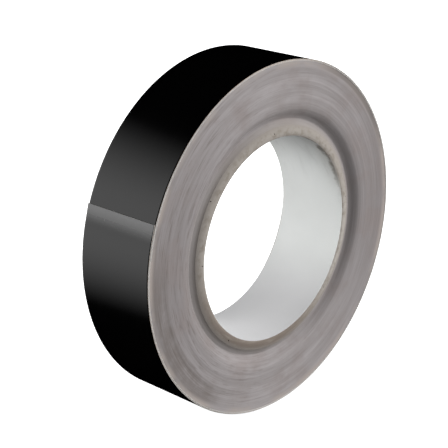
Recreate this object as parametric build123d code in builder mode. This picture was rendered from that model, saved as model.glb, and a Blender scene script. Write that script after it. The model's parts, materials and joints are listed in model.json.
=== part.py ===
from build123d import *
from math import asin, degrees, pi, tan
import os

# Roll of black-faced copper foil tape, wound on a spiral-wound paperboard core.
#
# The roll stands on its rim, as it does on a bench or on a spindle: its axis lies
# along Y, +Z is up, and the dished side that shows how the turns have slipped
# looks towards -Y. The origin is on the bore's axis, halfway across the tape.
# Angles around the roll are read from the -Y side, anticlockwise from +X.
# All sizes are in millimetres.

# ---------------------------------------------------------------- the core
core_bore_d = 76.2          # a 3 inch core
bore_ply_t = 0.2            # white paper that lines the bore
board_ply_t = 0.5           # each grey board ply
board_ply_count = 7
face_ply_t = 0.2            # smooth paper that the tape is started on
core_front_recess = 0.8     # from the tape's rim plane down to the core's crown
core_back_recess = 1.5
core_crown_drop = 0.75      # how far the cut ends fall from the crown to the outside
core_crown_in = 0.9         # the crown stands this far outside the bore
core_bore_drop = 0.25       # how far the cut ends fall from the crown to the bore
ply_strip_width = 100.0     # paper strip that each ply is wound from
ply_seam_gap = 0.35         # open butt seam between neighbouring wraps of a strip
ply_seam_turn = 137.5       # each ply's seam is this far round from the one inside it
bore_seam_angle = 262.0     # where the bore ply's seam meets the front end

# ---------------------------------------------------------------- the tape
tape_width = 31.75          # 1 1/4 inch
roll_d = 131.5              # diameter that the tape is wound up to
film_t = 0.05               # black polyester facing
foil_t = 0.04               # copper foil
adhesive_t = 0.04           # clear acrylic
liner_t = 0.11              # siliconed paper release liner
dish_depth = 2.6            # how far the turns at the dish's floor have slipped back
dish_floor = 2.4            # the floor lies this far outside the core
dish_reach = 8.5            # the slip dies out this far outside the core
outer_turns = 3             # turns built layer by layer; those inside are one pack

# ------------------------------------------- how the tape starts and ends
start_tab_t = 0.08          # double-sided tape that holds the first turn
start_tab_length = 20.0     # round the core
start_tab_width = 19.0      # along the core
cut_edge_angle = 159.4      # where the tape's square-cut end lies
free_end_length = 12.0      # the stretch that a finger lifts
free_end_straight = 6.0     # its last stretch no longer follows the roll

# ---------------------------------------------------------------- derived
bore_r = core_bore_d / 2
core_r = bore_r + bore_ply_t + board_ply_count * board_ply_t + face_ply_t
crown_r = bore_r + core_crown_in
rim_y = tape_width / 2
pitch = film_t + foil_t + adhesive_t + liner_t
wind_r = core_r + start_tab_t
# The tape starts on the +X side and winds clockwise. Its half turns below the axis
# are centred on the bore, and those above it half a pitch to +X, so that each runs
# on from the last as one smooth spiral.
upper_x = pitch / 2
turn_count = round((roll_d / 2 - wind_r) / pitch)
end_r = wind_r + (turn_count + 0.5) * pitch
pack_r = end_r - outer_turns * pitch
peel_angle = cut_edge_angle + degrees(free_end_length / end_r)

# Laminae from the outside in: name, depth below the strip's outer face, thickness.
laminae = {
    "black_film": (0, film_t),
    "copper_foil": (film_t, foil_t),
    "adhesive": (film_t + foil_t, adhesive_t),
    "release_liner": (film_t + foil_t + adhesive_t, liner_t),
}

os.makedirs("parts", exist_ok=True)


def save(part, name):
    """Labels a finished piece and writes it as its own STEP file."""
    part.label = name
    export_step(part, f"parts/{name}.step")


# ================================================================ the core
def end_drop(r):
    """How far the core's cut end lies below its crown at radius r."""
    if r < crown_r:
        return core_bore_drop * ((crown_r - r) / (crown_r - bore_r)) ** 2
    return core_crown_drop * ((r - crown_r) / (core_r - crown_r)) ** 2


def core_ply(inner_r, thickness, seam_angle):
    """One paper ply: a sleeve with one open helical seam, its ends on the crown."""
    outer_r = inner_r + thickness
    front = -rim_y + core_front_recess
    back = rim_y - core_back_recess
    mean_r = (inner_r + outer_r) / 2
    wrap_angle = asin(ply_strip_width / (2 * pi * mean_r))
    lead = 2 * pi * mean_r * tan(wrap_angle)
    with BuildPart() as ply:
        with BuildSketch(Plane.XY):
            Polygon(
                (inner_r, front + end_drop(inner_r)),
                (outer_r, front + end_drop(outer_r)),
                (outer_r, back - end_drop(outer_r)),
                (inner_r, back - end_drop(inner_r)),
                align=None,
            )
        revolve(axis=Axis.Y)
        with BuildLine(Plane(origin=(0, -rim_y, 0), x_dir=(1, 0, 0), z_dir=(0, 1, 0))) as seam:
            Helix(pitch=lead, height=tape_width, radius=mean_r)
        section = Plane(
            origin=seam.line @ 0, x_dir=(1, 0, 0), z_dir=seam.line % 0
        )
        with BuildSketch(section):
            Rectangle(4 * thickness, ply_seam_gap)
        sweep(path=seam.line, is_frenet=True, mode=Mode.SUBTRACT)
    return Rotation(0, -seam_angle, 0) * ply.part


seam_angle = bore_seam_angle
save(core_ply(bore_r, bore_ply_t, seam_angle), "core_bore_ply")
for number in range(board_ply_count):
    seam_angle += ply_seam_turn
    board_r = bore_r + bore_ply_t + number * board_ply_t
    save(core_ply(board_r, board_ply_t, seam_angle), f"core_board_ply_{number + 1}")
seam_angle += ply_seam_turn
save(core_ply(core_r - face_ply_t, face_ply_t, seam_angle), "core_face_ply")


# ================================================================ the tape
def strip_outline(outer, inner):
    """Closes the two faces of a strip, each a run of arcs, into one outline."""
    add(outer)
    add(inner)
    Line(outer[0] @ 0, inner[0] @ 0)
    Line(outer[-1] @ 1, inner[-1] @ 1)


# The start tab fills the step between the core and the first, round half turn.
tab_half = degrees(start_tab_length / 2 / core_r)
with BuildPart() as start_tab:
    with BuildSketch(Plane.XZ):
        with BuildLine():
            strip_outline(
                [CenterArc((0, 0), wind_r, -90 - tab_half, 2 * tab_half, mode=Mode.PRIVATE)],
                [CenterArc((0, 0), core_r, -90 - tab_half, 2 * tab_half, mode=Mode.PRIVATE)],
            )
        make_face()
    extrude(amount=start_tab_width / 2, both=True)
save(start_tab.part, "start_tab")

# Room for the wound turns. The first of them are held flush with the core's end,
# those at the dish's floor have slipped furthest, and the outer ones not at all.
first_slip = core_front_recess + core_crown_drop
floor_r = core_r + dish_floor
dish_r = core_r + dish_reach
end_slope = 2 * core_crown_drop / (core_r - crown_r)
with BuildPart() as room:
    with BuildSketch(Plane.XY):
        with BuildLine():
            for side_y in (-rim_y, rim_y):
                Spline(
                    (core_r, side_y + first_slip),
                    (floor_r, side_y + dish_depth),
                    tangents=[(1, end_slope), (1, 0)],
                )
                Spline(
                    (floor_r, side_y + dish_depth),
                    (dish_r, side_y),
                    tangents=[(1, 0), (1, 0)],
                )
            Polyline((dish_r, -rim_y), (roll_d, -rim_y), (roll_d, rim_y), (dish_r, rim_y))
            Line((core_r, first_slip - rim_y), (core_r, first_slip + rim_y))
        make_face()
    revolve(axis=Axis.Y)

# All but the outer turns, as one pack. Its outline has two steps of one pitch: next
# to the core where the strip starts, and outside where it runs on as those turns.
with BuildPart() as wound_turns:
    with BuildSketch(Plane.XZ):
        with BuildLine():
            crest = CenterArc((upper_x, 0), pack_r - pitch, 0, peel_angle)
            CenterArc((0, 0), pack_r - upper_x, 180, 180)
            step = CenterArc((upper_x, 0), pack_r, peel_angle, 180 - peel_angle)
            Line(crest @ 1, step @ 0)
        make_face()
        with BuildLine():
            CenterArc((0, 0), wind_r, 180, 180)
            arch = CenterArc((upper_x, 0), wind_r + upper_x, 0, 180)
            Line(arch @ 0, (wind_r, 0))
        make_face(mode=Mode.SUBTRACT)
    extrude(amount=tape_width, both=True)
    add(room.part, mode=Mode.INTERSECT)
save(wound_turns.part, "wound_turns")


def outer_face(depth):
    """A face of the outer turns, clockwise from the pack's step to the peel line."""
    r = pack_r - depth
    arcs = [CenterArc((upper_x, 0), r, peel_angle, -peel_angle)]
    for turn in range(outer_turns):
        arcs.append(CenterArc((0, 0), r + upper_x, 0, -180))
        r += pitch
        end = peel_angle if turn == outer_turns - 1 else 0
        arcs.append(CenterArc((upper_x, 0), r, 180, end - 180))
    return arcs


def free_face(depth):
    """A face of the loose end, which follows the roll and then runs straight."""
    bent = degrees((free_end_length - free_end_straight) / end_r)
    arc = CenterArc((upper_x, 0), end_r - depth, peel_angle, -bent)
    return [arc, Line(arc @ 1, (arc @ 1) + (arc % 1) * free_end_straight)]


for name, (depth, thickness) in laminae.items():
    for suffix, face in (("", outer_face), ("_end", free_face)):
        outer = face(depth)
        inner = face(depth + thickness)
        with BuildPart() as lamina:
            with BuildSketch(Plane.XZ):
                with BuildLine():
                    strip_outline(outer, inner)
                make_face()
            extrude(amount=rim_y, both=True)
        save(lamina.part, name + suffix)

wound_length = pi * turn_count * (wind_r + end_r)
across = 2 * end_r - pitch
print(f"{turn_count} turns, {wound_length / 1000:.1f} m of tape, {across:.1f} mm across")
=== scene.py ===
# %% [markdown]
# # A wide roll of copper foil tape
#
# The roll stands on its rim on a pale studio floor. Everything with a real size
# comes in with the frame: nine paper plies of the core, a pack of wound turns, and
# the last turns of the tape layer by layer, with a loose end that peels up.
# This script gives those pieces the surfaces they have on the real thing. It works
# in metres; the roll's axis lies along Y and its dished side looks towards -Y.

import json
from math import atan2, cos, degrees, exp, hypot, pi, radians, sin

import bmesh
import bpy
from mathutils import Matrix, Vector, noise


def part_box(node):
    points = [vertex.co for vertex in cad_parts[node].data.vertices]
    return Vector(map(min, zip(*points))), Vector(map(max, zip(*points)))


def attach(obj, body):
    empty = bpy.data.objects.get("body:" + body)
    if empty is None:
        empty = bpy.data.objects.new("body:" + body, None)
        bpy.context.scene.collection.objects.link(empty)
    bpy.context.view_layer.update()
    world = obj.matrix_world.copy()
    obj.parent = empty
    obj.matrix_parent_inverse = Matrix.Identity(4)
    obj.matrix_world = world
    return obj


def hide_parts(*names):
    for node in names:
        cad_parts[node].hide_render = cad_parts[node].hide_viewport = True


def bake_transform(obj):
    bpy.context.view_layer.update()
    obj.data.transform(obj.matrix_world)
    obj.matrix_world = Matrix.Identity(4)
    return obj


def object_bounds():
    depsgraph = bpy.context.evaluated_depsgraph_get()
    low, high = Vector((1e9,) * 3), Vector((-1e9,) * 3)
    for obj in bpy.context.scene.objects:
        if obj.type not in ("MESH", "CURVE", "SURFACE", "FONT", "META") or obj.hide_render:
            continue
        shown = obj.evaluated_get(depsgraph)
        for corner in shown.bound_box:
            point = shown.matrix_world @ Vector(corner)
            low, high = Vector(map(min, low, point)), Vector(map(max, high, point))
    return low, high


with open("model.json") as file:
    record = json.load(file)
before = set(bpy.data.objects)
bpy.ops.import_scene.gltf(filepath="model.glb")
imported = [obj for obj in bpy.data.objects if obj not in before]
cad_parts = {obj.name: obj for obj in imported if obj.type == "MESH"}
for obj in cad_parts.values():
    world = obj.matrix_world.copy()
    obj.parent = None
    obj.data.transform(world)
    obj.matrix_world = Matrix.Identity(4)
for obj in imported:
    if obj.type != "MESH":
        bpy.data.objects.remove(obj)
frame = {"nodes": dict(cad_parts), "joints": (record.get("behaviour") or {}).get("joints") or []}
cad_box = [list(corner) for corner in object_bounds()]
MM = 0.001
print("the model's box, in metres:", cad_box)

# %% [markdown]
# ## Sizes that the tape was wound to
#
# A layer's left-most point is its outer face on the last turn, so the layers' boxes
# nest there, and the differences between them are the layers' thicknesses. Below
# the axis the turns are half circles about the bore's axis. Above it they are half
# circles about a point half a pitch to the right. Each half then runs on from the
# last, and circles become one smooth spiral, as on a real roll.

# %% Read the winding from the frame
OUTER_TURNS = 3
LAYERS = ["black_film", "copper_foil", "adhesive", "release_liner"]
reach = {name: -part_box(name)[0].x for name in LAYERS + ["wound_turns"]}
PITCH = (reach["black_film"] - reach["wound_turns"]) / OUTER_TURNS
DEPTH = {name: reach["black_film"] - reach[name] for name in LAYERS}
inner_depths = [DEPTH[name] for name in LAYERS[1:]] + [PITCH]
THICK = {name: deep - DEPTH[name] for name, deep in zip(LAYERS, inner_depths)}
RISE = PITCH / 2
END_R = reach["black_film"] + RISE
PACK_R = reach["wound_turns"] + RISE
RIM_Y = -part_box("black_film")[0].y
CORE_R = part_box("core_face_ply")[1].x
PACK_TURNS = round((PACK_R - CORE_R) / PITCH - 1)
START_R = PACK_R + RISE - (PACK_TURNS + 1) * PITCH
print(f"pitch {PITCH / MM:.3f} mm, {PACK_TURNS} turns in the pack, from {START_R / MM:.2f} mm")
print("layer thicknesses, in mm:", {n: round(t / MM, 3) for n, t in THICK.items()})

# %% [markdown]
# ## Where the loose end leaves the roll
#
# The peeling hinge lies on the tape's outer face at the line where the end comes
# away. From there the tape follows the roll for a while and then runs straight,
# because stiff foil keeps the set that it was cut with.

# %% Read the peel line from the frame
peel_joint = next(joint for joint in frame["joints"] if joint["name"] == "end_peel")
PEEL = Vector(peel_joint["pos_m"])
PEEL_ANGLE = atan2(PEEL.z, PEEL.x - RISE)
FREE_LENGTH = 12 * MM
FREE_STRAIGHT = 6 * MM
BEND = (FREE_LENGTH - FREE_STRAIGHT) / END_R
LEAVE_ANGLE = PEEL_ANGLE - BEND
TANGENT = Vector((sin(LEAVE_ANGLE), 0, -cos(LEAVE_ANGLE)))
bend_end = Vector((RISE + END_R * cos(LEAVE_ANGLE), 0, END_R * sin(LEAVE_ANGLE)))
TIP = bend_end + TANGENT * FREE_STRAIGHT
print(f"peel line at {degrees(PEEL_ANGLE):.1f} degrees, tip at", [round(c, 4) for c in TIP])

# %% [markdown]
# ## Camera
#
# A long lens well back from the roll, a little above it and to its left, so that
# the black outside, the dished side and the inside of the bore all show.

# %% Stand the camera
camera_data = bpy.data.cameras.new("camera")
camera_data.lens = 103.2
camera_data.sensor_width = 36
camera_data.shift_x = -0.0490
camera_data.shift_y = 0.0121
camera = bpy.data.objects.new("camera", camera_data)
bpy.context.scene.collection.objects.link(camera)
camera.location = Vector((-0.3295, -0.2939, 0.1705))
camera.rotation_euler = (-camera.location).to_track_quat("-Z", "Y").to_euler()
bpy.context.scene.camera = camera
print("camera stands at", [round(c, 3) for c in camera.location])

# %% [markdown]
# ## A short way to write materials
#
# Node graphs are hard to read as lists of links. Here a value on a socket is
# wrapped in a small class, so that sums are written as sums, and one method adds
# any other node: its type, its settings, then what goes into its sockets.

# %% Values that write their own maths nodes
class Value:
    """A number, colour or vector that a node gives out."""

    def __init__(self, finish, socket):
        self.finish = finish
        self.socket = socket

    def math(self, operation, first, second):
        return self.finish.node(
            "ShaderNodeMath", {"operation": operation}, {0: first, 1: second}
        )

    def __add__(self, other):
        return self.math("ADD", self, other)

    def __radd__(self, other):
        return self.math("ADD", other, self)

    def __sub__(self, other):
        return self.math("SUBTRACT", self, other)

    def __rsub__(self, other):
        return self.math("SUBTRACT", other, self)

    def __mul__(self, other):
        return self.math("MULTIPLY", self, other)

    def __rmul__(self, other):
        return self.math("MULTIPLY", other, self)

    def __truediv__(self, other):
        return self.math("DIVIDE", self, other)

    def __pow__(self, other):
        return self.math("POWER", self, other)


print("sums on values become maths nodes")

# %% Finishes made of nodes
class Finish:
    """A material made of nodes."""

    def __init__(self, name):
        self.material = bpy.data.materials.new(name)
        self.material.use_nodes = True
        self.nodes = self.material.node_tree.nodes
        self.links = self.material.node_tree.links
        self.nodes.clear()

    def node(self, kind, settings=None, sockets=None, output=0):
        """Adds one node: settings first, then what its sockets hold or are fed by."""
        made = self.nodes.new(kind)
        for name, setting in (settings or {}).items():
            setattr(made, name, setting)
        for name, given in (sockets or {}).items():
            if isinstance(given, Value):
                self.links.new(given.socket, made.inputs[name])
            else:
                made.inputs[name].default_value = given
        return Value(self, made.outputs[output]) if len(made.outputs) else None

    def ease(self, value, low, high, start=0.0, end=1.0):
        """Turns smoothly from start to end as value goes from low to high."""
        return self.node(
            "ShaderNodeMapRange",
            {"interpolation_type": "SMOOTHSTEP"},
            {"Value": value, "From Min": low, "From Max": high, "To Min": start, "To Max": end},
        )

    def mix(self, factor, first, second):
        """Mixes two colours."""
        return self.node(
            "ShaderNodeMix", {"data_type": "RGBA"}, {0: factor, 6: first, 7: second}, output=2
        )

    def noise(self, place, scale, detail=3.0, roughness=0.5):
        """Noise between 0 and 1."""
        return self.node(
            "ShaderNodeTexNoise",
            {},
            {"Vector": place, "Scale": scale, "Detail": detail, "Roughness": roughness},
        )

    def vector(self, x, y, z):
        return self.node("ShaderNodeCombineXYZ", {}, {0: x, 1: y, 2: z})

    def bump(self, height, distance, strength):
        return self.node(
            "ShaderNodeBump", {}, {"Height": height, "Distance": distance, "Strength": strength}
        )

    def shade(self, **sockets):
        """Ends the material in one plain shader with these sockets set."""
        named = {name.replace("_", " "): given for name, given in sockets.items()}
        surface = self.node("ShaderNodeBsdfPrincipled", {}, named)
        self.node("ShaderNodeOutputMaterial", {}, {"Surface": surface})
        return self.material


print("a finish is a Finish, which adds nodes and ends in one shader")

# %% Places on the roll
class Place:
    """Where a point is on the roll, as values that a finish can use."""

    def __init__(self, finish):
        self.finish = finish
        self.all = finish.node("ShaderNodeTexCoord", output=3)
        split = finish.node("ShaderNodeSeparateXYZ", {}, {0: self.all}).socket.node
        self.x, self.y, self.z = (Value(finish, socket) for socket in split.outputs)
        self.r = (self.x * self.x + self.z * self.z) ** 0.5
        self.across = self.x / self.r
        self.up = self.z / self.r

    def facing(self, angle, spread):
        """Turns from 1 at this angle round the roll, in degrees, to 0 at spread from it."""
        cosine = self.across * cos(radians(angle)) + self.up * sin(radians(angle))
        return self.finish.ease(cosine, cos(radians(spread)), 1.0)


print("a finish reads where it is from Place: x, y, z, and r from the bore's axis")

# %% [markdown]
# ## Studio
#
# A pale floor that is lit evenly, a dim white room, and a soft key light from the
# right, in front and above, which models the dish: slopes that look right are light,
# and those that look left are dark. A second light from the left and behind shines
# on the right wall of the bore. The black film mirrors whatever is round it, so the
# room, the lamps and the floor are hidden from its reflections, and it mirrors one
# tall card instead, whose top and bottom fade out. Low views would look past the
# floor's edge, so a round backdrop with the floor's finish stands behind it.

# %% Cards and lamps
def card(name, centre, toward, width, height):
    """A flat card of one face, turned towards a point."""
    bm = bmesh.new()
    bmesh.ops.create_grid(bm, x_segments=1, y_segments=1, size=0.5)
    bmesh.ops.scale(bm, vec=(width, height, 1), verts=bm.verts)
    facing = (Vector(toward) - Vector(centre)).to_track_quat("Z", "Y").to_matrix().to_4x4()
    bmesh.ops.transform(bm, matrix=Matrix.Translation(centre) @ facing, verts=bm.verts)
    return staged(name, bm)


def staged(name, bm):
    """Turns a bmesh into a part of the studio."""
    mesh = bpy.data.meshes.new(name)
    bm.to_mesh(mesh)
    bm.free()
    made = bpy.data.objects.new(name, mesh)
    bpy.context.scene.collection.objects.link(made)
    print(name, "is part of the studio")
    return made


def lamp(name, centre, size, power):
    """A soft square light that shines on the roll, hidden from reflections."""
    data = bpy.data.lights.new(name, "AREA")
    data.size = size
    data.energy = power
    made = bpy.data.objects.new(name, data)
    bpy.context.scene.collection.objects.link(made)
    made.location = centre
    made.rotation_euler = (-Vector(centre)).to_track_quat("-Z", "Y").to_euler()
    made.visible_glossy = False
    print(name, "lamp at", centre)


print("the studio is made of cards and lamps")

# %% Room, floor and backdrop
bpy.context.scene.view_settings.view_transform = "Standard"
world = bpy.data.worlds.new("studio")
world.use_nodes = True
world.node_tree.nodes["Background"].inputs["Color"].default_value = (1, 1, 1, 1)
world.node_tree.nodes["Background"].inputs["Strength"].default_value = 0.36
world.cycles_visibility.glossy = False
bpy.context.scene.world = world

FLOOR_Z = cad_box[0][2]
BACKDROP_R = 4
floor_finish = Finish("pale_floor")
floor_finish.shade(
    Base_Color=(0.9, 0.9, 0.9, 1),
    Roughness=1.0,
    Specular_IOR_Level=0.0,
    Emission_Color=(1, 1, 1, 1),
    Emission_Strength=0.9,
)
floor = card("floor", (0, 0, FLOOR_Z), (0, 0, 1), 2 * BACKDROP_R, 2 * BACKDROP_R)
bm = bmesh.new()
bmesh.ops.create_cone(
    bm, cap_ends=False, segments=96, radius1=BACKDROP_R, radius2=BACKDROP_R, depth=12
)
backdrop = staged("backdrop", bm)
for stage in (floor, backdrop):
    stage.data.materials.append(floor_finish.material)
    stage.visible_glossy = False
    stage.visible_diffuse = False
backdrop.visible_shadow = False
print("floor at", round(FLOOR_Z, 5))

# %% Lamps and the mirrored card
lamp("key", (1.76, -1.38, 0.88), size=1.1, power=74.0)
lamp("behind_left", (-0.72, 0.62, 0.35), size=0.6, power=8.5)

mirrored = Finish("mirrored_card")
spot = Place(mirrored)
top_fade = mirrored.ease(spot.z, 0.25, 1.10, 1.0, 0.0)
bottom_fade = mirrored.ease(spot.z, -0.75, -0.05, 0.0, 1.0)
mirrored.shade(
    Base_Color=(0, 0, 0, 1),
    Specular_IOR_Level=0.0,
    Emission_Color=mirrored.mix(top_fade * bottom_fade, (0, 0, 0, 1), (1, 1, 1, 1)),
    Emission_Strength=1.02,
)
mirrored.material.cycles.emission_sampling = "NONE"
reflected = card("reflected_card", (-0.60, 0.82, 0.1), (0, 0, 0.1), 1.6, 2.6)
reflected.data.materials.append(mirrored.material)
for way in ("camera", "diffuse", "transmission", "volume_scatter", "shadow"):
    setattr(reflected, "visible_" + way, False)

# %% [markdown]
# ## A strip wound on the roll
#
# Each layer of the tape is one long ribbon. It could be a curve with a flat bevel,
# but a spun mesh keeps square edges and the exact spiral. A thin rectangle is spun
# half a turn about the bore's axis, then half a turn about the raised centre, and
# so on. The loose end is a piece of its own: a short bend, then a straight run. Its
# points are marked with their distance from the cut edge.

# %% Spin a section
STEPS = 120
PACK_STEPS = 96
LOOSE_STEPS = 16
MERGE_DIST = 0.002 * MM
AXIS = Vector((0, 1, 0))


def spin(bm, geom, centre_x, angle, steps):
    """Sweeps edges clockwise, seen from -Y, and gives back the last ones."""
    swept = bmesh.ops.spin(
        bm, geom=geom, cent=(centre_x, 0, 0), axis=AXIS, dvec=(0, 0, 0),
        angle=angle, steps=steps, use_merge=False, use_duplicate=False,
    )
    return swept["geom_last"]


def ribbon_section(bm, depth, thickness, half_width, cuts):
    """A flat rectangle across the tape at the peel line."""
    corners = []
    for r, y in (
        (END_R - depth, -half_width),
        (END_R - depth, half_width),
        (END_R - depth - thickness, half_width),
        (END_R - depth - thickness, -half_width),
    ):
        corners.append(bm.verts.new((RISE + r * cos(PEEL_ANGLE), y, r * sin(PEEL_ANGLE))))
    edges = [bm.edges.new((corners[i - 1], corners[i])) for i in range(4)]
    long_edges = [edge for edge in edges if edge.calc_length() > half_width]
    bmesh.ops.subdivide_edges(bm, edges=long_edges, cuts=cuts)
    return list(bm.verts) + list(bm.edges)


print(f"half a turn has {STEPS} steps in the outer layers and {PACK_STEPS} in the pack")

# %% Close a mesh and make it an object
def close_ends(bm):
    """Caps the open ends, merges what meets and turns every face outwards."""
    bmesh.ops.remove_doubles(bm, verts=bm.verts, dist=MERGE_DIST)
    rim = [edge for edge in bm.edges if edge.is_boundary]
    bmesh.ops.holes_fill(bm, edges=rim, sides=0)
    bmesh.ops.recalc_face_normals(bm, faces=bm.faces)


def finished(name, bm, material, sharp=35):
    """Turns a bmesh into an object with one material, smooth but for its corners."""
    mesh = bpy.data.meshes.new(name)
    for face in bm.faces:
        face.smooth = True
    for edge in bm.edges:
        edge.smooth = len(edge.link_faces) == 2 and edge.calc_face_angle(0) < radians(sharp)
    bm.to_mesh(mesh)
    bm.free()
    made = bpy.data.objects.new(name, mesh)
    made.data.materials.append(material)
    bpy.context.scene.collection.objects.link(made)
    print(name, len(mesh.polygons), "faces", [round(d / MM, 2) for d in made.dimensions])
    return made


print("points nearer than", MERGE_DIST / MM, "mm become one")

# %% Wind a strip and its loose end
def wound_strip(bm, depth, thickness, half_width, cuts):
    """Winds a strip through the outer turns, up to the peel line."""
    last = ribbon_section(bm, depth + OUTER_TURNS * PITCH, thickness, half_width, cuts)
    last = spin(bm, last, RISE, PEEL_ANGLE, round(STEPS * PEEL_ANGLE / pi))
    for turn in range(OUTER_TURNS):
        last = spin(bm, last, 0, pi, STEPS)
        sweep = pi if turn < OUTER_TURNS - 1 else pi - PEEL_ANGLE
        last = spin(bm, last, RISE, sweep, max(6, round(STEPS * sweep / pi)))


def loose_strip(bm, last):
    """Carries a strip on from the peel line to its cut edge."""
    last = spin(bm, last, RISE, BEND, LOOSE_STEPS)
    for step in range(LOOSE_STEPS):
        edges = [part for part in last if isinstance(part, bmesh.types.BMEdge)]
        grown = bmesh.ops.extrude_edge_only(bm, edges=edges)["geom"]
        verts = [part for part in grown if isinstance(part, bmesh.types.BMVert)]
        bmesh.ops.translate(bm, verts=verts, vec=TANGENT * FREE_STRAIGHT / LOOSE_STEPS)
        ahead = set(verts)
        last = verts + [
            part for part in grown
            if isinstance(part, bmesh.types.BMEdge) and ahead.issuperset(part.verts)
        ]


def mark_from_cut(bm, loose):
    """Notes each point's distance from the cut edge: far away, unless it is loose."""
    layer = bm.verts.layers.float.new("from_cut")
    for vert in bm.verts:
        vert[layer] = (TIP - vert.co).dot(TANGENT) if loose else 2 * FREE_LENGTH


print("the loose end is", FREE_LENGTH / MM, "mm long")

# %% Lay one layer of the tape
def lay_layer(name, piece, material, proud=0.0, cuts=1):
    """Makes one layer of the tape: its wound turns, then its loose end."""
    bm = bmesh.new()
    wound_strip(bm, DEPTH[name], THICK[name], RIM_Y + proud, cuts)
    close_ends(bm)
    mark_from_cut(bm, loose=False)
    turns = finished(piece + "_turns", bm, material)
    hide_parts(name)
    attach(turns, "roll")

    bm = bmesh.new()
    loose_strip(bm, ribbon_section(bm, DEPTH[name], THICK[name], RIM_Y, cuts))
    close_ends(bm)
    mark_from_cut(bm, loose=True)
    end = finished(piece + "_loose_end", bm, material)
    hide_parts(name + "_end")
    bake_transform(end)


# %% [markdown]
# ## Black film
#
# The facing is a glossy black film. It is nearly a mirror, with small faults: fine
# lines along the tape from the slitter, edges that fall away a little, and a duller
# stretch at the cut edge, which a painted highlight also makes paler. The lines run
# round the roll, so the noise that makes them is stretched along the tape and
# depends mostly on the distance across.

# %% Black film
def film_finish():
    film = Finish("black_film")
    place = Place(film)
    black = (0.0006, 0.0006, 0.0007, 1)
    # painted highlight: the paler grey that the stretch at the cut edge is painted with
    painted_highlight_grey = (0.150, 0.150, 0.150, 1)
    from_cut = film.node("ShaderNodeAttribute", {"attribute_name": "from_cut"}, output=2)
    # painted highlight near the cut edge: paler grey there, and rougher too
    painted_lighting_near_edge = film.ease(from_cut, 0.2 * MM, 6.8 * MM, 1.0, 0.0)
    along = film.vector(place.across * 1.5, place.y * 900, place.up * 1.5)
    lines = film.noise(along, 1.0, 2.0)
    cloud = film.noise(place.all, 35.0, 2.0)
    patch = film.noise(place.all, 220.0, 2.0)
    scuffs = film.ease(lines, 0.60, 0.78)
    from_middle = film.node("ShaderNodeMath", {"operation": "ABSOLUTE"}, {0: place.y})
    edge_fall = film.ease(from_middle, RIM_Y - 0.45 * MM, RIM_Y)
    return film.shade(
        Base_Color=film.mix(painted_lighting_near_edge * (0.75 + 0.3 * cloud), black, painted_highlight_grey),
        Roughness=0.10 + 0.05 * cloud + 0.10 * scuffs + 0.28 * painted_lighting_near_edge,
        IOR=1.65,
        Normal=film.bump(lines + 0.3 * patch - 320 * edge_fall, 0.0012 * MM, 0.5),
    )


lay_layer("black_film", "black_film", film_finish(), cuts=3)

# %% [markdown]
# ## Copper, adhesive and liner
#
# Seen from the side these are hairlines, and they show only when the end is lifted:
# bright copper would be covered by its adhesive, a clear, faintly yellow coat. The
# liner is siliconed paper. It was slit a hair wider than the tape, so its turns
# stand proud of the others.

# %% Copper
def copper_finish():
    copper = Finish("copper")
    place = Place(copper)
    grain = copper.noise(copper.vector(place.x * 30, place.y * 1500, place.z * 30), 1.0, 3.0)
    tarnish = copper.noise(place.all, 180.0, 3.0)
    return copper.shade(
        Base_Color=copper.mix(tarnish, (0.70, 0.32, 0.17, 1), (0.50, 0.21, 0.10, 1)),
        Metallic=1.0,
        Roughness=0.28 + 0.15 * grain,
    )


lay_layer("copper_foil", "copper_foil", copper_finish())

# %% Adhesive
def adhesive_finish():
    glue = Finish("adhesive")
    place = Place(glue)
    mottle = glue.noise(place.all, 700.0, 3.0)
    return glue.shade(
        Base_Color=glue.mix(mottle, (0.40, 0.28, 0.19, 1), (0.50, 0.37, 0.26, 1)),
        Roughness=0.22 + 0.25 * mottle,
        Normal=glue.bump(mottle, 0.02 * MM, 0.4),
    )


lay_layer("adhesive", "adhesive", adhesive_finish())

# %% Release liner
def liner_finish():
    liner = Finish("liner")
    place = Place(liner)
    fibre = liner.noise(liner.vector(place.x * 900, place.y * 300, place.z * 900), 1.0, 4.0)
    return liner.shade(
        Base_Color=liner.mix(fibre, (0.60, 0.58, 0.555, 1), (0.76, 0.74, 0.715, 1)),
        Roughness=0.42 + 0.1 * fibre,
        Normal=liner.bump(fibre, 0.02 * MM, 0.5),
    )


lay_layer(
    "release_liner", "liner", liner_finish(),
    proud=0.10 * MM,
)

# %% [markdown]
# ## The wound turns
#
# Ninety-odd turns seen edge-on. On a real roll the inner turns have slipped towards
# the back, which makes the dish, and each turn stands a hair proud of the next. The
# section is one closed rectangle whose long sides have two points for each turn. It
# is spun once round, and its end meets the start one turn further out. Then every
# point moves along the axis by its turn's slip, which follows the strip, so the
# steps between turns wind round without a break. The innermost points are drawn in
# to a round wall that the core's edge covers.

# %% Slip of the wound turns
DISH_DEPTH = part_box("wound_turns")[1].y - RIM_Y  # how far the deepest turns have slid
FIRST_SLIP = 1.55 * MM  # how far the turns beside the core have slid
DISH_FLOOR = 2.1 * MM  # the deepest turns lie this far outside the core
DISH_SPREAD = 2.8 * MM  # how fast the slip dies out beyond them
WAVES = 0.10 * MM
TURN_STEPS = 0.035 * MM
SETTLED_TURNS = 6  # the waves die out over this many turns at either side
LEVEL = 1e-9  # points nearer to the axis's height than this count as level with it


def turn_number(co):
    """How many turns along the strip a point lies, from the tape's start."""
    angle = atan2(-co.z, co.x) % (2 * pi)
    if co.z > LEVEL:
        return (hypot(co.x - RISE, co.z) - RISE - START_R) / PITCH + angle / (2 * pi)
    if abs(co.z) <= LEVEL and co.x > 0:
        return (co.x - START_R) / PITCH
    return (hypot(co.x, co.z) - START_R) / PITCH + angle / (2 * pi)


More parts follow.
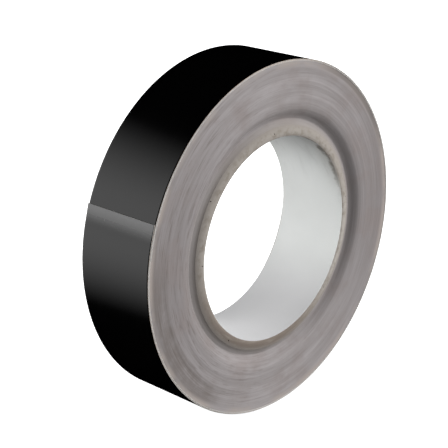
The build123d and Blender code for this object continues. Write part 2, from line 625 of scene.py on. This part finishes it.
def slip(turn):
    """How far a turn has slid towards +Y."""
    out = START_R + turn * PITCH - CORE_R - DISH_FLOOR
    if out < 0:
        dish = DISH_DEPTH - (DISH_DEPTH - FIRST_SLIP) * (-out / DISH_FLOOR) ** 1.3
    else:
        dish = DISH_DEPTH * exp(-((out / DISH_SPREAD) ** 1.8))
    before_end = max(0, PACK_TURNS - turn)
    settle = min(1, before_end / SETTLED_TURNS) * min(1, turn / SETTLED_TURNS)
    waves = WAVES * noise.noise(Vector((turn * 0.065, 3.1, 0)))
    steps = TURN_STEPS * noise.noise(Vector((turn * 0.31, 7.7, 0)))
    return dish + (waves + steps) * settle


print(f"the deepest turns have slid {slip((CORE_R + DISH_FLOOR - START_R) / PITCH) / MM:.2f} mm")

# %% Spin the pack and let it slip
INNER_R = CORE_R - 0.08 * MM
PROUD = 0.012 * MM
WANDER = 0.02 * MM
STEADY_TURNS = 4  # the wander dies out over the last few turns

bm = bmesh.new()
pack_end = START_R + PACK_TURNS * PITCH
outline = ((START_R, -RIM_Y), (pack_end, -RIM_Y), (pack_end, RIM_Y), (START_R, RIM_Y))
corners = [bm.verts.new((r, y, 0)) for r, y in outline]
sides = [bm.edges.new((corners[i], corners[(i + 1) % 4])) for i in range(4)]
bmesh.ops.subdivide_edges(bm, edges=[sides[0], sides[2]], cuts=2 * PACK_TURNS - 1)
last = spin(bm, list(bm.verts) + list(bm.edges), 0, pi, PACK_STEPS)
spin(bm, last, RISE, pi, PACK_STEPS)
close_ends(bm)
for vert in bm.verts:
    turn = turn_number(vert.co)
    whole_turns = turn - (atan2(-vert.co.z, vert.co.x) % (2 * pi)) / (2 * pi)
    if whole_turns < 0.25:  # one of the section's innermost points
        snug = INNER_R / hypot(vert.co.x, vert.co.z)
        vert.co.x *= snug
        vert.co.z *= snug
        turn = (INNER_R - START_R) / PITCH
    proud = PROUD * cos(2 * pi * turn)
    wander = WANDER * noise.noise(vert.co * 90)
    side = -1 if vert.co.y < 0 else 1
    steady = min(1, (PACK_TURNS - turn) / STEADY_TURNS)
    vert.co.y += slip(turn) + side * (proud + wander * steady)
print("the pack has", len(bm.verts), "points")

# %% [markdown]
# ## Wound edge finish
#
# The side of the roll is the slit edges of paper, foil and glue, which blend to a
# dull pinkish grey. One colour would look like plastic, so it is built up in thin
# coats: rings of slightly different turns, a faint brown smear, fine dark lines,
# gritty streaks where the side was handled, and marks at set distances from the
# core and from the rim. Some coats are painted light and shade: a painted sheen
# that makes the side lighter above and below the bore than at its left and right,
# painted shade in the valley beside the core, a paler painted light band on the
# left just outside the core, and a painted shadow along the rim at the upper right.
# Noise that is stretched round the roll makes the rings.

# %% Wound edges
def edge_finish():
    edge = Finish("wound_edge")
    place = Place(edge)
    from_core = place.r - CORE_R
    from_rim = END_R - place.r
    ring = edge.vector(place.r * 420, place.across * 1.3, place.up * 1.3)
    broad = edge.noise(ring, 1.0, 2.0)
    fine = edge.noise(edge.vector(place.r * 2600, place.across * 3, place.up * 3), 1.0, 3.0)
    smear = edge.noise(place.all, 75.0, 4.0, 0.6)
    grain = edge.noise(place.all, 1500.0, 3.0)
    # painted sheen: the tall colour, above and below the bore, is a lit copy of the wide colour
    # at its left and right
    tall = (0.385, 0.358, 0.361, 1)
    wide = (0.283, 0.261, 0.263, 1)
    level = edge.mix(place.across * place.across, tall, wide)
    base = edge.mix(edge.ease(broad, 0.3, 0.7) * 0.45, level, (0.235, 0.215, 0.210, 1))
    tinted = edge.mix(edge.ease(smear, 0.42, 0.70) * 0.5, base, (0.262, 0.222, 0.212, 1))
    lined = edge.mix(edge.ease(fine, 0.35, 0.75) * 0.24, tinted, (0.16, 0.140, 0.132, 1))

    streaked = edge.vector(place.r * 1500, place.across * 7, place.up * 7)
    streak = edge.noise(streaked, 1.0, 4.0, 0.6)
    gritty = edge.ease(streak, 0.50, 0.72) * (0.12 + 0.38 * place.facing(180, 105))
    dirty = edge.mix(gritty, lined, (0.135, 0.112, 0.100, 1))

    beside_core = edge.ease(from_core, 2.8 * MM, -0.2 * MM)
    warmed = edge.mix(beside_core * 0.7, dirty, (0.300, 0.272, 0.250, 1))
    # painted light: a paler band just outside the core on the left, lightening the shade of the
    # slope there
    painted_light_band = edge.ease(from_core, 0.4 * MM, 1.2 * MM) * edge.ease(from_core, 2.8 * MM, 1.8 * MM)
    with_painted_light_band = edge.mix(painted_light_band * place.facing(185, 75) * 0.5, warmed, (0.44, 0.41, 0.40, 1))
    # painted shade: the valley outside the core is painted darker, most of all towards the lower
    # left
    valley = edge.ease(from_core, 0.8 * MM, 3.0 * MM) * edge.ease(from_core, 7.6 * MM, 3.8 * MM)
    painted_valley_shade = valley * (0.08 + 0.12 * place.facing(205, 40))
    shaded = edge.mix(painted_valley_shade, with_painted_light_band, (0.105, 0.092, 0.086, 1))

    rim = edge.ease(from_rim, 3.76 * MM, 1.36 * MM) * edge.ease(smear + 0.3 * fine, 0.50, 0.75)
    tanned = edge.mix(rim * 0.7, shaded, (0.420, 0.370, 0.340, 1))
    # painted shadow: a dark band along the rim at the upper right
    painted_rim_shadow = edge.ease(from_rim, 3.36 * MM, 2.16 * MM) * place.facing(45, 32)
    with_rim_shadow = edge.mix(painted_rim_shadow * 0.55, tanned, (0.11, 0.098, 0.092, 1))
    worn = edge.ease(from_rim, 10.46 * MM, 7.46 * MM) * edge.ease(from_rim, 1.16 * MM, 3.46 * MM)
    patch = worn * place.facing(206, 45) * edge.ease(smear + 0.25 * fine, 0.38, 0.66)
    return edge.shade(
        Base_Color=edge.mix(patch * 0.6, with_rim_shadow, (0.150, 0.130, 0.118, 1)),
        Roughness=0.46 + 0.15 * broad,
        Specular_IOR_Level=0.35,
        Normal=edge.bump(fine * 0.6 + grain * 0.4, 0.07 * MM, 0.4),
    )


wound = finished("wound_edges", bm, edge_finish(), sharp=60)
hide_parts("wound_turns")
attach(wound, "roll")

# %% [markdown]
# ## Core board
#
# The cut ends of the core's plies take on the colour of the wound edges towards the
# tape. Painted light makes them paler towards the lower right, and painted shade
# makes them darker below.
# Their shapes are right as they come, so they only get this finish: rings of board
# under a mottle of fibres.

# %% Core board
def board_finish():
    board = Finish("core_board")
    place = Place(board)
    rings = board.vector(place.r * 1100, place.across * 5, place.up * 5)
    ring = board.noise(rings, 1.0, 3.0)
    fibre = board.noise(place.all, 900.0, 4.0)
    mottle = board.noise(place.all, 480.0, 4.0, 0.6)
    plain = (0.335, 0.306, 0.278, 1)
    # painted light: a paler copy of the board, used towards the lower right
    painted_lighting = (0.42, 0.392, 0.362, 1)
    board_with_painted_light = board.mix(place.facing(330, 55) * 0.8, plain, painted_lighting)
    # painted shade: the board is painted darker towards the bottom
    colour = board.mix(place.facing(250, 80), board_with_painted_light, (0.205, 0.170, 0.146, 1))
    soiled = board.mix(board.ease(mottle, 0.42, 0.70) * 0.6, colour, (0.20, 0.172, 0.140, 1))
    plies = board.mix(board.ease(ring, 0.45, 0.75) * 0.3, soiled, (0.40, 0.37, 0.325, 1))
    outward = board.ease(place.r, CORE_R - 2.0 * MM, CORE_R)
    return board.shade(
        Base_Color=board.mix(outward * 0.85, plies, (0.300, 0.272, 0.250, 1)),
        Roughness=0.9,
        Specular_IOR_Level=0.2,
        Normal=board.bump(fibre * 0.5 + mottle, 0.12 * MM, 0.5),
    )


board_material = board_finish()
for name, node in frame["nodes"].items():
    if name.startswith("core_board") or name in ("core_face_ply", "start_tab"):
        node.data.materials[0] = board_material
print("the core's boards and the start tab keep their own shapes")

# %% [markdown]
# ## Bore paper
#
# The bore is lined with white paper, with grey finger marks near its top. Painted
# shade makes it darker and a little lilac towards the bottom, darker towards its top,
# and darker still near the front at the top, most of all along the front lip. It is a
# thin sleeve, spun as one smooth tube. Its butt seam is tight on the real thing, so
# it isn't modelled as a gap: the finish draws it as a faint helix.

# %% Bore paper finish
SEAM_LEAD = 110 * MM  # how far the seam goes along the bore in one turn


def paper_finish():
    paper = Finish("bore_paper")
    place = Place(paper)
    mottle = paper.noise(place.all, 60.0, 4.0)
    fibre = paper.noise(place.all, 1500.0, 3.0)
    dull_spots = paper.noise(place.all, 190.0, 4.0, 0.6)
    smeared = paper.vector(place.x * 60, place.y * 260, place.z * 60)
    marks = paper.noise(smeared, 1.0, 4.0, 0.65)
    white = paper.mix(mottle, (0.635, 0.650, 0.638, 1), (0.725, 0.738, 0.728, 1))
    # painted shade: darker and a little lilac towards the bottom of the bore
    low = paper.ease(place.z, -14 * MM, -36 * MM)
    painted_low_shade = paper.mix(low * 0.8, white, (0.545, 0.540, 0.552, 1))
    # painted shade: darker towards the top of the bore
    high = paper.ease(place.z, 14 * MM, 36 * MM)
    painted_top_shade = paper.mix(high * 0.75, painted_low_shade, (0.47, 0.47, 0.465, 1))

    # painted shade: darker near the front of the bore at its top
    front = paper.ease(place.y, -5 * MM, -15 * MM) * paper.ease(place.z, 2 * MM, 24 * MM)
    painted_lighting_near_edge = paper.mix(front * 0.5, painted_top_shade, (0.36, 0.345, 0.32, 1))
    smudge = paper.ease(marks, 0.50, 0.68) * paper.ease(place.z, 6 * MM, 26 * MM)
    marked = paper.mix(smudge * (0.15 + 0.40 * front), painted_lighting_near_edge, (0.23, 0.22, 0.21, 1))

    angle = paper.node("ShaderNodeMath", {"operation": "ARCTAN2"}, {0: place.z, 1: place.x})
    wraps = angle / (2 * pi) - place.y / SEAM_LEAD
    phase = paper.node("ShaderNodeMath", {"operation": "FRACT"}, {0: wraps})
    from_seam = paper.node("ShaderNodeMath", {"operation": "ABSOLUTE"}, {0: phase - 0.5})
    seam = paper.ease(from_seam, 0.0030, 0.0012)
    seamed = paper.mix(seam * 0.35, marked, (0.30, 0.29, 0.275, 1))

    # painted shade: dark along the top of the bore's front lip
    lip = paper.ease(place.y + 8 * MM * dull_spots, -8.6 * MM, -10.8 * MM)
    painted_lighting = lip * paper.ease(place.z, 0 * MM, 22 * MM)
    return paper.shade(
        Base_Color=paper.mix(painted_lighting * 0.75, seamed, (0.13, 0.105, 0.085, 1)),
        Roughness=0.7,
        Specular_IOR_Level=0.25,
        Normal=paper.bump(fibre * 0.04 + paper.noise(place.all, 45.0, 1.0), 0.8 * MM, 0.5),
    )


print("the bore's seam goes", SEAM_LEAD / MM, "mm along in one turn")

# %% Bore sleeve
BORE_PLY = 0.2 * MM
SLEEVE_STEPS = 192
low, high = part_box("core_bore_ply")
wall = (
    (low.y, high.x),
    (high.y, high.x),
    (high.y, high.x - BORE_PLY),
    (low.y, high.x - BORE_PLY),
)
bm = bmesh.new()
corners = [bm.verts.new((r, y, 0)) for y, r in wall]
edges = [bm.edges.new((corners[i - 1], corners[i])) for i in range(4)]
spin(bm, corners + edges, 0, 2 * pi, SLEEVE_STEPS)
bmesh.ops.remove_doubles(bm, verts=bm.verts, dist=MERGE_DIST)
bmesh.ops.recalc_face_normals(bm, faces=bm.faces)
sleeve = finished("bore_sleeve", bm, paper_finish())
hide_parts("core_bore_ply")
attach(sleeve, "roll")
